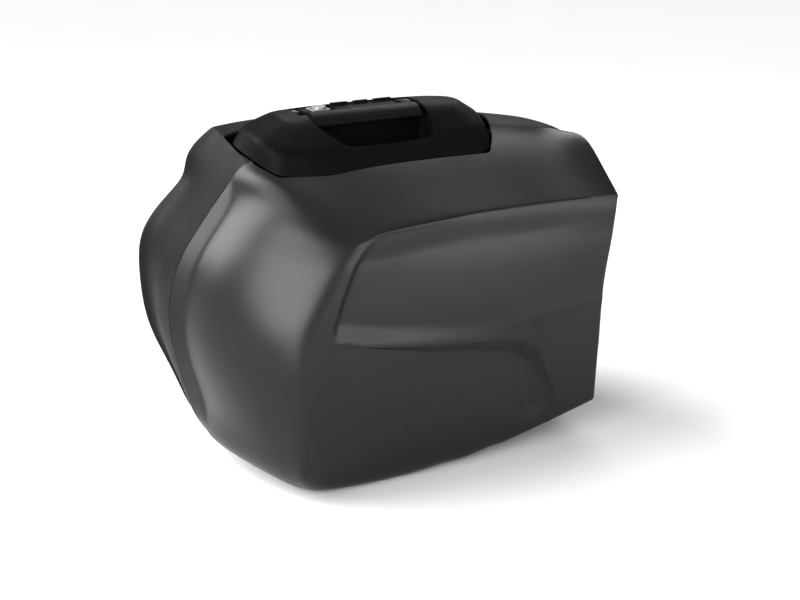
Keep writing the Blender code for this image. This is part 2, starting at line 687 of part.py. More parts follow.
def make_mount(case):
    """Carrier fittings on the inboard side: a top plate with its pawl, two lower hooks and two bumpers."""
    low_y, high_y = MOUNT_PLATE_Y
    plate = box("mount_plate", (-45, low_y, 170), (75, high_y, 292), DARK_METAL)
    for end, span in MOUNT_LAND_X.items():
        join(plate, box(f"join_mount_land_{end}", (span[0], high_y - 1, 195), (span[1], MOUNT_LAND_Y, 268)))
    y, z = PAWL_PIVOT
    for tag, x in (("a", 1), ("b", 25)):
        profile = [(high_y - 1, z - 8), (y + 3, z - 5)] + arc(PAWL_PIVOT, 5, -45, 90, 5) + [(high_y - 1, z + 6)]
        join(plate, bar_along_x(f"join_pawl_cheek_{tag}", profile, (x, x + 4)))
    bore = cylinder("cut_pawl_bore", (-5, y, z), (35, y, z), 2.4)
    cut(plate, bore)
    profile = arc(PAWL_PIVOT, 4.6, 180, -10, 8) + [
        (y + 4.6, z - 22), (y + 1, z - 27), (y - 4.2, z - 27), (y - 4.2, z - 23), (y - 0.5, z - 21), (y - 1.5, z - 8),
    ]
    pawl = bar_along_x("mount_pawl", profile, (5.6, 24.4), STEEL)
    cut(pawl, bore)
    cylinder("pawl_pin", (1, y, z), (29, y, z), 2.0, SATIN_METAL, 16)
    for end, x in MOUNT_HOOK_X.items():
        hook = (
            (low_y, 60), (low_y, 112), (high_y - 0.5, 112), (high_y - 0.5, 104), (135, 104), (137, 101),
            (137, 84), (133, 84), (133, 99), (high_y - 0.5, 99), (high_y - 0.5, 60),
        )
        bar_along_x(f"mount_hook_{end}", hook, (x - 14, x + 14), DARK_METAL)
    corners = [(px, pz) for px in (-35, 65) for pz in (180, 282)]
    for i, (px, pz) in enumerate(corners):
        hole = cylinder(f"cut_mount_screw_{i}", (px, 108, pz), (px, high_y + 3, pz), 2.8, None, 16)
        cut(plate, hole)
        cut(case, hole)
        screw = cylinder(f"mount_screw_{i + 1}", (px, high_y + GAP, pz), (px, high_y + 3.2, pz), 5.5, STEEL)
        join(screw, cylinder(f"join_mount_screw_{i}", (px, 110, pz), (px, high_y + 1, pz), 2.4, None, 12))
        cut(screw, cylinder(f"cut_mount_socket_{i}", (px, high_y + 1.8, pz), (px, high_y + 9, pz), 2.2, None, 6))
    for end, x in (("front", -165), ("rear", 195)):
        cylinder(f"bumper_{end}", (x, low_y - 0.5, 210), (x, 130, 210), 13, RUBBER, 24)


def underside(obj, x, y, radius):
    """Lowest point of a shell over a small round area, in millimetres."""
    graph = bpy.context.evaluated_depsgraph_get()
    shell = obj.evaluated_get(graph)
    spots = [(x, y)] + [
        (x + radius * math.cos(i * math.pi / 4), y + radius * math.sin(i * math.pi / 4)) for i in range(8)
    ]
    hits = [shell.ray_cast(metres((px, py, -50)), Vector((0, 0, 1)))[1].z / MM for px, py in spots]
    return min(hits)


def make_feet(lid, case):
    for name, shell, x, y in (
        ("foot_outer_front", lid, -100, -84),
        ("foot_outer_rear", lid, 140, -30),
        ("foot_inner_front", case, -120, 80),
        ("foot_inner_rear", case, 170, 78),
    ):
        top = underside(shell, x, y, FOOT_RADIUS) - 2 * GAP
        cylinder(name, (x, y, FLOOR_Z), (x, y, top), FOOT_RADIUS, RUBBER, 24)


def make_rim_seal(shell_rim):
    """Rubber bead inside the two rims, following the case's own rim from one end of the notch to the other."""
    count = len(shell_rim)
    middle = sum(shell_rim, Vector()) / count
    path = []
    for i, point in enumerate(shell_rim):
        along = shell_rim[(i + 1) % count] - shell_rim[i - 1]
        inward = Vector((0, 1, PARTING_LEAN)).cross(along).normalized()
        if inward.dot(middle - point) < 0:
            inward = -inward
        lift = SEAL_LIFT if point.z < SEAL_LIFT_BELOW_Z * MM else 0
        path.append(point + inward * (SEAL_INSET + lift) * MM)
    curve = bpy.data.curves.new("rim_seal", "CURVE")
    curve.dimensions = "3D"
    curve.bevel_depth = SEAL_RADIUS * MM
    curve.bevel_resolution = 1
    spline = curve.splines.new("POLY")
    spline.points.add(count - 1)
    spline.use_cyclic_u = True
    for target, point in zip(spline.points, path):
        target.co = (*point, 1.0)
    helper = bpy.data.objects.new("rim_seal_curve", curve)
    CUTTERS.objects.link(helper)
    mesh = bpy.data.meshes.new_from_object(helper.evaluated_get(bpy.context.evaluated_depsgraph_get()))
    bpy.data.objects.remove(helper)
    seal = add_object("rim_seal", mesh, RUBBER)
    cut(seal, bpy.data.objects["cut_console_notch"])
    return seal


def rim_loop(obj):
    """The open border of a shell's rounded cage, as points in order."""
    mesh = obj.evaluated_get(bpy.context.evaluated_depsgraph_get()).data
    bm = bmesh.new()
    bm.from_mesh(mesh)
    start = next(edge for edge in bm.edges if edge.is_boundary)
    vertex, edge = start.verts[0], start
    loop = []
    while True:
        loop.append(vertex.co.copy())
        vertex = edge.other_vert(vertex)
        edge = next(e for e in vertex.link_edges if e.is_boundary and e != edge)
        if edge == start:
            break
    loop.append(vertex.co.copy())
    bm.free()
    return loop


def ribbon(path, thickness):
    """Closed outline of a strap that follows a path of (Y, Z) points."""
    sides = ([], [])
    for i, (y, z) in enumerate(path):
        before = path[max(0, i - 1)]
        after = path[min(len(path) - 1, i + 1)]
        along = Vector((after[0] - before[0], after[1] - before[1])).normalized()
        for side, reach in zip(sides, (thickness / 2, -thickness / 2)):
            side.append((y - along.y * reach, z + along.x * reach))
    return sides[0] + sides[1][::-1]


def make_check_straps():
    """Folding webbing that stops the open lid; it hangs in a loop between two clips when closed."""
    for end, x in STRAP_X.items():
        half = (STRAP_CASE_Y - STRAP_LID_Y) / 2
        middle = (STRAP_CASE_Y + STRAP_LID_Y) / 2
        path = [(STRAP_CASE_Y, STRAP_TOP_Z)] + arc((middle, STRAP_FOLD_Z), half, 0, -180, 10)
        path += [(STRAP_LID_Y, STRAP_TOP_Z)]
        edges = (x - STRAP_HALF_WIDTH, x + STRAP_HALF_WIDTH)
        bar_along_x(f"check_strap_{end}", ribbon(path, STRAP_THICKNESS), edges, WEBBING)
        out = -1 if end == "front" else 1
        for side, y, away in (("case", STRAP_CASE_Y, 1), ("lid", STRAP_LID_Y, -1)):
            near = y + away * (STRAP_THICKNESS / 2 + GAP)
            far = near + away * CLIP_THICKNESS
            reach = STRAP_WALL_X[end][side]
            low_x, high_x = sorted((x - out * STRAP_HALF_WIDTH, reach))
            box(
                f"strap_clip_{side}_{end}",
                (low_x, min(near, far), STRAP_TOP_Z - 14), (high_x, max(near, far), STRAP_TOP_Z), DARK_METAL,
            )


clear_scene()
PARTS = collection("saddlebag")
CUTTERS = collection("cutters")
PAINT = material("dark_grey_paint", (0.075, 0.077, 0.08), 0.35, 0.5)
BLACK_PLASTIC = material("black_plastic", (0.03, 0.03, 0.032), 0.5)
BLACK_GRAINED = material("black_grained_plastic", (0.014, 0.014, 0.015), 0.55)
GREY_PLASTIC = material("grey_black_plastic", (0.05, 0.05, 0.052), 0.5)
LIGHT_PLASTIC = material("light_grey_plastic", (0.2, 0.2, 0.2), 0.5)
DARK_METAL = material("black_coated_steel", (0.03, 0.03, 0.03), 0.45, 0.6)
STEEL = material("zinc_plated_steel", (0.5, 0.5, 0.5), 0.35, 1.0)
SATIN_METAL = material("satin_steel", (0.6, 0.6, 0.6), 0.3, 1.0)
WEBBING = material("black_webbing", (0.02, 0.02, 0.022), 0.9)
RUBBER = material("black_rubber", (0.02, 0.02, 0.02), 0.85)

lid_shell = make_lid()
inner_shell, case_rim = make_inner_shell()
make_console()
make_tray()
make_console_floor()
make_carry_handle()
make_handle_hinge()
make_release_lever()
make_lock()
make_latch()
make_strikers()
make_hinges()
make_mount(inner_shell)
make_feet(lid_shell, inner_shell)
make_rim_seal(case_rim)
make_check_straps()
for part in list(PARTS.objects) + list(CUTTERS.objects):
    part.location += metres(CASE_SHIFT)
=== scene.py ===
"""Looks of the hard saddlebag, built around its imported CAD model.

The row frame's axes: X to the motorcycle's rear, -Y outboard through the painted lid, +Z up, in metres.
Tables of points repeat the case's own coordinates in millimetres, which CASE_SHIFT moves into the row frame.
"""

import json
import math

import bmesh
import bpy
import numpy as np
from mathutils import Matrix, Vector


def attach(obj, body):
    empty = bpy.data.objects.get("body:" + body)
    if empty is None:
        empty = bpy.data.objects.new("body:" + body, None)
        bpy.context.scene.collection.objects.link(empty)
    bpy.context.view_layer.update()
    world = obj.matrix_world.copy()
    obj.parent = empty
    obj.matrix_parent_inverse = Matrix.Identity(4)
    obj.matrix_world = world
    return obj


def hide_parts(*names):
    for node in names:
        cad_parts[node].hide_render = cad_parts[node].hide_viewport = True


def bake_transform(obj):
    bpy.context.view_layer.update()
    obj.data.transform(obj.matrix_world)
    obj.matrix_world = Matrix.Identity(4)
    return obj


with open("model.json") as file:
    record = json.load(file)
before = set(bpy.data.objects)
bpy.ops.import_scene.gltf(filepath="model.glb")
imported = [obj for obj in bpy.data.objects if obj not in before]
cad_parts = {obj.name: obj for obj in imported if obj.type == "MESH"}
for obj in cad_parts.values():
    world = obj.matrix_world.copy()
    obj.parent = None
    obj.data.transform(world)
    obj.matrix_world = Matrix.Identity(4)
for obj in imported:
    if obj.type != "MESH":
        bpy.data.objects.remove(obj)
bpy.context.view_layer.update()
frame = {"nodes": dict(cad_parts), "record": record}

MM = 0.001
CASE_SHIFT = (-7.7, 0.0, 4.3)
WALL = 3.0
SKIN_LEVEL = 4
REFINE_ROUNDS = 2

# ---------------------------------------------------------------- shape, as in the CAD
PARTING_Y = 54.5
PARTING_LEAN = 0.18
PARTING_GAP = 1.4
OUTLINE_BOTTOM = ((-186, 20), (-112, 6), (-42, 5), (30, 5), (100, 5), (155, 7), (205, 13), (241, 30))
OUTLINE_REAR = ((249, 70), (253, 125), (257, 190), (259, 235), (260, 265), (261, 295), (261, 325))
OUTLINE_TOP = (
    (256, 349), (219, 358), (165, 365.5), (95, 369), (20, 370), (-50, 369), (-112, 366), (-160, 358),
)
OUTLINE_FRONT = ((-180, 338), (-197, 315), (-216, 287), (-237, 249), (-247, 190), (-235, 125), (-216, 66))
HINGE_GROOVE = 9.0
COLUMN_SHARES = (0.0, 0.13, 0.30, 0.48, 0.65, 0.80, 0.92, 1.0)
LID_FACE = (
    ((-150, -110, 6), (35, -115, 4), (236, -119, 41)),
    ((-158, -123, 60), (35, -129, 57), (237, -121, 80)),
    ((-162, -129, 125), (35, -135, 120), (238, -123, 122)),
    ((-161, -130, 188), (35, -137, 184), (240, -123, 184)),
    ((-136, -128, 236), (40, -135, 234), (248, -122, 232)),
    ((-121, -127, 260), (40, -132, 260), (253, -120, 256)),
    ((-110, -124, 276), (40, -129, 279), (256, -119, 274)),
    ((-100, -121, 286), (40, -126, 293), (258, -117, 286)),
    ((-92, -117, 292), (40, -122, 301), (259, -115, 293)),
)
LID_FRONT_FOOT = (-150, -110, 14)  # the face's lower front corner stands above its row
LID_BAND_TOP = (-174, -18.5, 333)  # the front band narrows here towards its top end
BACK_FACE = (
    ((-186, 98, 28), (30, 98, 13), (232, 98, 36)),
    ((-209, 114, 84), (30, 118, 70), (244, 113, 84)),
    ((-234, 117, 150), (30, 119, 140), (250, 117, 140)),
    ((-241, 117, 215), (30, 119, 200), (253, 117, 195)),
    ((-235, 116, 262), (30, 119, 250), (253, 115, 240)),
    ((-210, 113, 297), (30, 118, 285), (251, 113, 275)),
    ((-187, 110, 323), (30, 112, 315), (246, 108, 305)),
    ((-181, 104, 350), (30, 102, 353), (240, 98, 332)),
    ((-160, 88, 377), (30, 88, 379), (232, 84, 351)),
)
LID_DEPTHS = (0.12, 0.37, 0.70)
LID_INSETS = {
    "front": (0.145, 0.24, 0.52),
    "top": (0.12, 0.345, 0.69),
    "rear": (0.0, 0.10, 0.40),
    "bottom": (0.0, 0.10, 0.35),
}
BACK_DEPTHS = (0.15, 0.50, 0.85)
BACK_INSETS = {
    "front": (0.05, 0.35, 0.90),
    "top": (0.15, 0.50, 0.85),
    "rear": (0.05, 0.30, 0.80),
    "bottom": (0.02, 0.20, 0.60),
}
BACK_CROWN = (4.0, 7.0, 5.0)
LID_CORNERS = {
    ("bottom", "front"): ((-192, 31, 21), (-187, -9, 19), (-169, -62, 13)),
    ("bottom", "rear"): ((241, 30, 27), (240, -8, 29), (238, -66, 35)),
    ("top", "rear"): ((259, -23, 350), (259.5, -50, 347), (258.5, -83, 321)),
    ("top", "front"): ((-158.5, -23, 352), (-145, -50, 342), (-117, -85, 318)),
}
FITTING_ROUNDS = 4
CONSOLE_SKIRT = (
    (-158, 56, 373), (-159, 14, 366.5), (-153, -17, 358), (-138, -43, 346), (-80, -50, 342), (-10, -50, 343),
    (60, -50, 343), (121, -50, 346), (140, -25, 357), (158, 15, 366), (169, 56, 367), (90, 57, 366),
    (0, 57, 366), (-90, 57, 366),
)
CONSOLE_WALL = (
    (-146, 54, 387), (-149, 14, 386), (-151, -18, 382), (-131, -39, 370), (-80, -38, 366), (-10, -37, 362),
    (60, -37, 365), (112, -39, 370), (130, -20, 377), (147, 15, 381), (156, 54, 380), (90, 56, 391),
    (0, 56, 392), (-90, 56, 391),
)
CONSOLE_CROWN = (
    (-106, 50, 399), (-111, 20, 399), (-110, 2, 397), (-103, -4, 396), (-78, -3, 397), (-10, -1, 399),
    (60, -1, 400), (98, -5, 399), (112, 2, 398), (122, 20, 397), (125, 50, 396), (90, 52, 400),
    (0, 52, 401), (-90, 52, 400),
)
# Each quad of the console's top, by the places of its corners in the crown.
CONSOLE_TOP_QUADS = (
    (1, 2, 3, 0), (0, 3, 4, 13), (13, 4, 5, 12), (12, 5, 6, 11), (11, 6, 7, 10), (10, 7, 8, 9),
)
CONSOLE_RING_CREASES = (1.0, 0.4, 0.35)
CONSOLE_CORNERS = (2, 3, 7, 8, 10)
CONSOLE_CORNER_CREASE = 0.3
# Foot and top of a line just below the console's outboard face, as (Y, Z).
CONSOLE_SLOPE = ((-37.0, 357.0), (-1.0, 391.0))
CONSOLE_CLEARANCE = 1.5
CONSOLE_NOTCH_CORNER = 6
CONSOLE_NOTCH_Z = (325, 430)
RECESS_X = (-79, 64)
RECESS_Y = (-34, 16)
BAY_X = (-86, 67)
BAY_Y = (12, 47)
TRAY_X = (-88, 76)
TRAY_Y = (-36, 46)
TRAY_Z = (348, 384)
TRAY_WALL = 2.5
TRAY_OPEN_TOP = 400
BELOW_BAY_Y = 22
FINGER_FLOOR = 351
BAY_FLOOR = 374
LID_HINGE = (55.0, 7.0)
HANDLE_PIVOT = (38.0, 392.0)
LEVER_PIVOT = (30.0, 391.0)
LOCK_AXIS = (-54.5, 31.0)
HINGE_X = (-62, 112)
HINGE_WIDTH = 44
HINGE_SIDE_ROOM = 1.5
HINGE_ROOM_BELOW = 12
HINGE_ROOM_ABOVE = 16
KNUCKLE_RADIUS = 4.5
KNUCKLE_ROOM = 1.2
ARM_X = ((-77, -68), (47, 57))
ARM_EYE_RADIUS = 6.5
PIN_HOLE_RADIUS = 2.8
LEVER_X = (-37, 40)
LEVER_GAPS_X = (-16, 10)  # the two gaps that make three knobs of the lever's raised edge
LEVER_GAP_WIDTH = 8
LOCK_HOUSING_X = (-11.5, 11.3)  # from the lock's axis
LOCK_HOUSING_Y = (21, 42.5)
LOCK_HOUSING_TOP = 399.5
LOCK_BORE_RADIUS = 8.4
BARREL_RADIUS = 8.0
BARREL_Z = (382.5, 402)
KEY_SLOT_HALF = (4.5, 0.9)
KEY_SLOT_FLOOR = 390
KEY_RING_RADII = (5.6, 6.6)
KEY_RING_FLOOR = 401.3
CUT_TOP = 410  # above every fitting in the bay

# ---------------------------------------------------------------- lines on the lid's outer face
# Lip and foot of the long undercut, as (X, Z) from the front, round the bend and down.
LIP = ((-128, 184), (-105, 179), (-81, 173), (-38, 166), (13, 159), (66, 152), (86, 151), (107, 146),
       (121, 141), (138, 133), (150, 113), (162, 89), (174, 64))
FOOT = ((-128, 183.5), (-105, 178), (-81, 171.5), (-44, 162), (13, 149), (66, 139), (93, 133), (110, 128),
        (127, 117), (143, 99), (158, 80), (174, 63))
# The undercut's depth along the lip, as (X, depth).
UNDERCUT = (
    (-128, 0.3), (-81, 2.2), (-44, 4.0), (13, 6.2), (66, 7.8), (110, 8.0), (138, 7.0), (160, 4.2), (174, 0),
)
UNDERCUT_FADE = 120.0  # below the foot the face comes back out over this length
LEAST_STEP = 0.3  # between lip and foot
# Front edge of the scooped panel as (Z, X), and the line along its top as (X, Z).
SCOOP_EDGE = ((184, -128), (208, -122), (250, -104), (270, -92), (290, -71), (297, -48))
SCOOP_TOP = ((-60, 296), (-38, 297), (11, 300), (62, 301), (115, 299), (170, 297), (249, 291))
SCOOP_DEPTH = 6.0
SCOOP_WALL = 11.0
SCOOP_TOP_WALL = 34.0
SCOOP_RAMP = 24.0
SCOOP_FADE = 300.0
# A faint crease along the rear of the panel, as (X, Z).
RIDGE = ((55, 163), (120, 168), (176, 170), (250, 170))
RIDGE_HEIGHT = 1.6
RIDGE_WIDTH = 14.0
RIDGE_START_FADE = 90
RIDGE_TOP_FADE = 40
RIDGE_FOOT_Z = 60
RIDGE_FOOT_FADE = 60
# The face's bottom edge as (X, Z). All relief fades towards it, and where the face turns away from outboard.
FACE_BOTTOM = ((-150, 8), (35, 6), (236, 41))
RELIEF_FADE = 35.0
RELIEF_LEAST_FACING = 0.35
RELIEF_FACING_FADE = 0.3
RELIEF_OUTBOARD_OF_Y = -60
# Where the mesh follows the relief's sharp lines.
OUTER_FACE_Y = -90
OUTER_FACE_NORMAL_Y = -0.3
SHARP_X = (-100, 173)
SHARP_Z = (186, 286)
CAGE_SPACING = 40.0  # a usual distance between the cage's points
REFINE_REACH = 10.0


def clamp01(value):
    return np.clip(value, 0.0, 1.0)


def ease(value):
    value = clamp01(value)
    return value * value * (3 - 2 * value)


def curve_through(points, steps=12):
    """Two arrays that follow a smooth curve through these points, for np.interp."""
    points = np.array(points, float)
    padded = np.vstack([2 * points[0] - points[1], points, 2 * points[-1] - points[-2]])
    found = []
    for i in range(1, len(padded) - 2):
        a, b, c, d = padded[i - 1 : i + 3]
        for t in np.arange(steps) / steps:
            square = (2 * a - 5 * b + 4 * c - d) * t**2
            cube = (3 * b - a - 3 * c + d) * t**3
            found.append(0.5 * (2 * b + (c - a) * t + square + cube))
    found.append(points[-1])
    found = np.array(found)
    return np.maximum.accumulate(found[:, 0]), found[:, 1]


def at(points, values):
    """The curve's second coordinate where its first has these values."""
    along, across = curve_through(points)
    return np.interp(values, along, across)


def slope_length(points, values):
    """Length of the curve per unit of its first coordinate."""
    return np.sqrt(1 + ((at(points, values + 1) - at(points, values - 1)) / 2) ** 2)


def face_relief(x, z):
    """How far the lid's outer face goes in from its smooth shape, in millimetres."""
    lip, foot = at(LIP, x), at(FOOT, x)
    depth = np.interp(x, *zip(*UNDERCUT), left=0, right=0)
    band = clamp01((lip - z) / np.maximum(lip - foot, LEAST_STEP))
    below = (foot - z) / slope_length(LIP, x)
    undercut = depth * band * (1 - ease(below / UNDERCUT_FADE))
    edge = at(SCOOP_EDGE, z)
    inside = (x - edge) / slope_length(SCOOP_EDGE, z)
    top = at(SCOOP_TOP, x)
    scoop = (
        SCOOP_DEPTH
        * ease(inside / SCOOP_WALL)
        * (1 - ease(inside / SCOOP_FADE))
        * ease((top - z) / SCOOP_TOP_WALL)
        * ease((z - lip) / SCOOP_RAMP)
    )
    away = np.abs(z - at(RIDGE, x))
    ridge = (
        RIDGE_HEIGHT
        * (1 - np.exp(-away / RIDGE_WIDTH))
        * ease((x - RIDGE[0][0]) / RIDGE_START_FADE)
        * ease((top - z) / RIDGE_TOP_FADE)
        * ease((z - RIDGE_FOOT_Z) / RIDGE_FOOT_FADE)
    )
    bottom = np.interp(x, *zip(*FACE_BOTTOM))
    return (undercut + scoop + ridge) * ease((z - bottom) / RELIEF_FADE)


# ---------------------------------------------------------------- mesh helpers
def metres(point):
    return Vector(point) * MM


def mesh_from(bm, name):
    mesh = bpy.data.meshes.new(name)
    bm.to_mesh(mesh)
    bm.free()
    return mesh


def add_object(name, mesh):
    obj = bpy.data.objects.new(name, mesh)
    bpy.context.scene.collection.objects.link(obj)
    return obj


def modifier(obj, kind, **settings):
    made = obj.modifiers.new(kind.lower(), kind)
    for key, value in settings.items():
        setattr(made, key, value)
    return made


def apply_all(obj):
    """Replace the object's mesh by what its modifiers make of it."""
    graph = bpy.context.evaluated_depsgraph_get()
    graph.update()
    mesh = bpy.data.meshes.new_from_object(obj.evaluated_get(graph))
    obj.modifiers.clear()
    obj.data = mesh
    return obj


def boolean(obj, helper, operation="DIFFERENCE"):
    """Cut or join a helper, in place, and remove it."""
    modifier(obj, "BOOLEAN", operation=operation, object=helper, solver="EXACT")
    apply_all(obj)
    bpy.data.objects.remove(helper)
    return obj


def box(low, high):
    bm = bmesh.new()
    bmesh.ops.create_cube(bm, size=1.0)
    low, high = metres(low), metres(high)
    bmesh.ops.scale(bm, vec=high - low, verts=bm.verts)
    bmesh.ops.translate(bm, vec=(low + high) / 2, verts=bm.verts)
    return add_object("helper_box", mesh_from(bm, "helper_box"))


def cylinder(start, end, radius, segments=48):
    axis = metres(end) - metres(start)
    bm = bmesh.new()
    bmesh.ops.create_cone(
        bm, cap_ends=True, segments=segments, radius1=radius * MM, radius2=radius * MM, depth=axis.length
    )
    turn = axis.to_track_quat("Z", "Y").to_matrix().to_4x4()
    bm.transform(Matrix.Translation((metres(start) + metres(end)) / 2) @ turn)
    return add_object("helper_cylinder", mesh_from(bm, "helper_cylinder"))


def extrude(points, offset):
    """A closed outline, as a bmesh solid swept by an offset; both in millimetres."""
    bm = bmesh.new()
    face = bm.faces.new([bm.verts.new(metres(point)) for point in points])
    moved = bmesh.ops.extrude_face_region(bm, geom=[face])
    top = [item for item in moved["geom"] if isinstance(item, bmesh.types.BMVert)]
    bmesh.ops.translate(bm, verts=top, vec=metres(offset))
    bmesh.ops.recalc_face_normals(bm, faces=bm.faces)
    return bm


def prism(outline, z_range):
    bm = extrude([(x, y, z_range[0]) for x, y in outline], (0, 0, z_range[1] - z_range[0]))
    return add_object("helper_prism", mesh_from(bm, "helper_prism"))


def bar_along_x(name, profile, x_range):
    bm = extrude([(x_range[0], y, z) for y, z in profile], (x_range[1] - x_range[0], 0, 0))
    return add_object(name, mesh_from(bm, name))


def rounded(points, radius, steps=5):
    """A polygon of 2-D points with its corners rounded."""
    points = [Vector(point) for point in points]
    found = []
    for before, corner, after in zip(points[-1:] + points, points, points[1:] + points[:1]):
        back, ahead = before - corner, after - corner
        reach = min(radius, back.length * 0.45, ahead.length * 0.45)
        start, end = corner + back.normalized() * reach, corner + ahead.normalized() * reach
        for i in range(steps + 1):
            t = i / steps
            found.append((start * (1 - t) ** 2 + corner * 2 * t * (1 - t) + end * t**2).to_tuple())
    return found


def arc(centre, radius, start, end, steps):
    angles = [math.radians(start + (end - start) * i / steps) for i in range(steps + 1)]
    return [(centre[0] + radius * math.cos(a), centre[1] + radius * math.sin(a)) for a in angles]


def soften(obj, width, segments=3, angle=30.0):
    """Round the object's sharp edges, in place."""
    modifier(obj, "BEVEL", width=width * MM, segments=segments, limit_method="ANGLE",
             angle_limit=math.radians(angle), use_clamp_overlap=True, harden_normals=False)
    return apply_all(obj)


def shade(obj, angle=30.0):
    obj.data.shade_smooth()
    obj.data.set_sharp_from_angle(angle=math.radians(angle))


def place(obj, body, slot, finish, *nodes, angle=30.0):
    """Bring a finished piece into the row frame, give it its finish and smooth shading, attach it to its
    body, and hide the CAD nodes that it stands for.
    """
    obj.data.transform(Matrix.Translation(metres(CASE_SHIFT)))
    obj.data.materials.clear()
    obj.data.materials.append(finish)
    shade(obj, angle)
    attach(obj, body)
    if nodes:
        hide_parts(*nodes)
    return obj


# ---------------------------------------------------------------- the two half shells
def parting_y(z):
    return PARTING_Y - PARTING_LEAN * z


def along_row(row, share):
    """The point at this share of the parabola through a row's front, middle and rear."""
    front, middle, rear = (Vector(point) for point in row)
    weights = ((1 - share) * (1 - 2 * share), 4 * share * (1 - share), share * (2 * share - 1))
    return front * weights[0] + middle * weights[1] + rear * weights[2]


def boundary_order(rows, columns):
    bottom = [((0, c), "bottom") for c in range(columns)]
    rear = [((r, columns - 1), "rear") for r in range(1, rows - 1)]
    top = [((rows - 1, c), "top") for c in reversed(range(columns))]
    front = [((r, 0), "front") for r in reversed(range(1, rows - 1))]
    return bottom + rear + top + front


def corner_position(face_rows, column, row=-1):
    """Where a corner of the face stands in the order of its boundary."""
    rows, columns = len(face_rows), len(COLUMN_SHARES)
    order = [index for index, _ in boundary_order(rows, columns)]
    return order.index((row % rows, column % columns))


def corner_sides(rows, columns):
    return {
        (0, 0): ("bottom", "front"),
        (0, columns - 1): ("bottom", "rear"),
        (rows - 1, columns - 1): ("top", "rear"),
        (rows - 1, 0): ("top", "front"),
    }


def tub_cage(face_rows, depths, insets, crowns, corner_lines, rim_offset):
    """Half a case as an open cage: a face grid and the wall rings out to the parting line."""
    rows = len(face_rows)
    columns = len(COLUMN_SHARES)
    order = boundary_order(rows, columns)
    corners = corner_sides(rows, columns)
    outline = OUTLINE_BOTTOM + OUTLINE_REAR + OUTLINE_TOP + OUTLINE_FRONT
    bm = bmesh.new()
    grid = [[bm.verts.new(along_row(row, share) * MM) for share in COLUMN_SHARES] for row in face_rows]
    rings = []
    for level in range(-1, len(depths)):
        ring = []
        for (index, side), (x, z) in zip(order, outline):
            sides = corners.get(index, (side, side))
            rim = Vector((x, parting_y(z) + rim_offset, z))
            face = grid[index[0]][index[1]].co / MM
            if level < 0:
                point = rim
                if sides == ("bottom", "bottom"):
                    point = rim + Vector((0, 0, HINGE_GROOVE))
            elif sides in corner_lines:
                point = Vector(corner_lines[sides][level])
            else:
                inset = sum(insets[edge][level] for edge in sides) / 2
                point = rim.lerp(face, inset)
                point.y = rim.y + (face.y - rim.y) * depths[level]
                point.z += crowns[level] * sides.count("top") / 2
            ring.append(bm.verts.new(point * MM))
        rings.append(ring)
    rings.append([grid[r][c] for (r, c), _ in order])
    for r in range(rows - 1):
        for c in range(columns - 1):
            bm.faces.new((grid[r][c], grid[r][c + 1], grid[r + 1][c + 1], grid[r + 1][c]))
    for outer, inner in zip(rings, rings[1:]):
        for i in range(len(outer)):
            j = (i + 1) % len(outer)
            bm.faces.new((outer[i], outer[j], inner[j], inner[i]))
    bmesh.ops.recalc_face_normals(bm, faces=bm.faces)
    middle = grid[3][3]
    if middle.link_faces[0].normal.y * middle.co.y < 0:
        bmesh.ops.reverse_faces(bm, faces=bm.faces)
    return bm, grid, rings


def crease(bm, chain, values):
    layer = bm.edges.layers.float.get("crease_edge") or bm.edges.layers.float.new("crease_edge")
    steps = len(chain) - 1
    for i in range(steps):
        edge = bm.edges.get((chain[i], chain[i + 1]))
        edge[layer] = values[0] + (values[1] - values[0]) * i / max(1, steps - 1)


def pass_through_points(obj):
    """Moves the cage until its rounded surface runs through the points that it was made from."""
    wanted = [vertex.co.copy() for vertex in obj.data.vertices]
    for _ in range(FITTING_ROUNDS):
        rounded_mesh = obj.evaluated_get(bpy.context.evaluated_depsgraph_get()).data
        missed = [point - rounded_mesh.vertices[i].co for i, point in enumerate(wanted)]
        for vertex, miss in zip(obj.data.vertices, missed):
            vertex.co += miss
        obj.data.update()


def rounded_skin(name, bm, level):
    """The cage's rounded surface at a fine level, through the same points as the CAD's."""
    skin = add_object(name, mesh_from(bm, name))
    rounding = modifier(skin, "SUBSURF", levels=1, render_levels=1)
    pass_through_points(skin)
    rounding.levels = rounding.render_levels = level
    return apply_all(skin)


def half_space(side):
    """Everything beyond the parting gap, on the lid's side (-1) or the inner shell's side (+1)."""
    depth = 100
    block = box((-300, 0, -300), (300, 2 * depth, 500))
    block.data.transform(Matrix.Translation(metres((0, -depth, -100))))
    lean = math.atan(PARTING_LEAN)
    foot = Vector((0, PARTING_Y + side * PARTING_GAP / 2, 0))
    normal = Vector((0, math.cos(lean), math.sin(lean)))
    turn = Matrix.Rotation(lean, 4, "X")
    block.data.transform(Matrix.Translation(metres(foot + normal * (-side) * depth)) @ turn)
    return block


def console_outline(grow):
    points = [Vector(point) for point in CONSOLE_SKIRT]
    front = [(p.x - grow, p.y - (grow if p.y < 0 else 0)) for p in points[1:4]]
    side = [(p.x, p.y - grow) for p in points[4:7]]
    rear = [(p.x + grow, p.y - (grow if p.y < 5 else 0)) for p in points[7:10]]
    inboard_y = points[12].y + grow
    return front + side + rear + [(points[10].x + grow, inboard_y), (points[0].x - grow, inboard_y)]


def cut_openings(shell, side):
    boolean(shell, half_space(side))
    notch = rounded(console_outline(CONSOLE_CLEARANCE), CONSOLE_NOTCH_CORNER, 3)
    boolean(shell, prism(notch, CONSOLE_NOTCH_Z))
    y, z = LID_HINGE
    half = HINGE_WIDTH / 2 + HINGE_SIDE_ROOM
    reach = KNUCKLE_RADIUS + KNUCKLE_ROOM
    for x in HINGE_X:
        low = (x - half, y - reach, z - HINGE_ROOM_BELOW)
        high = (x + half, y + reach, z + HINGE_ROOM_ABOVE)
        boolean(shell, box(low, high))


def coordinates(mesh):
    found = np.empty(len(mesh.vertices) * 3)
    mesh.vertices.foreach_get("co", found)
    return found.reshape(-1, 3) / MM


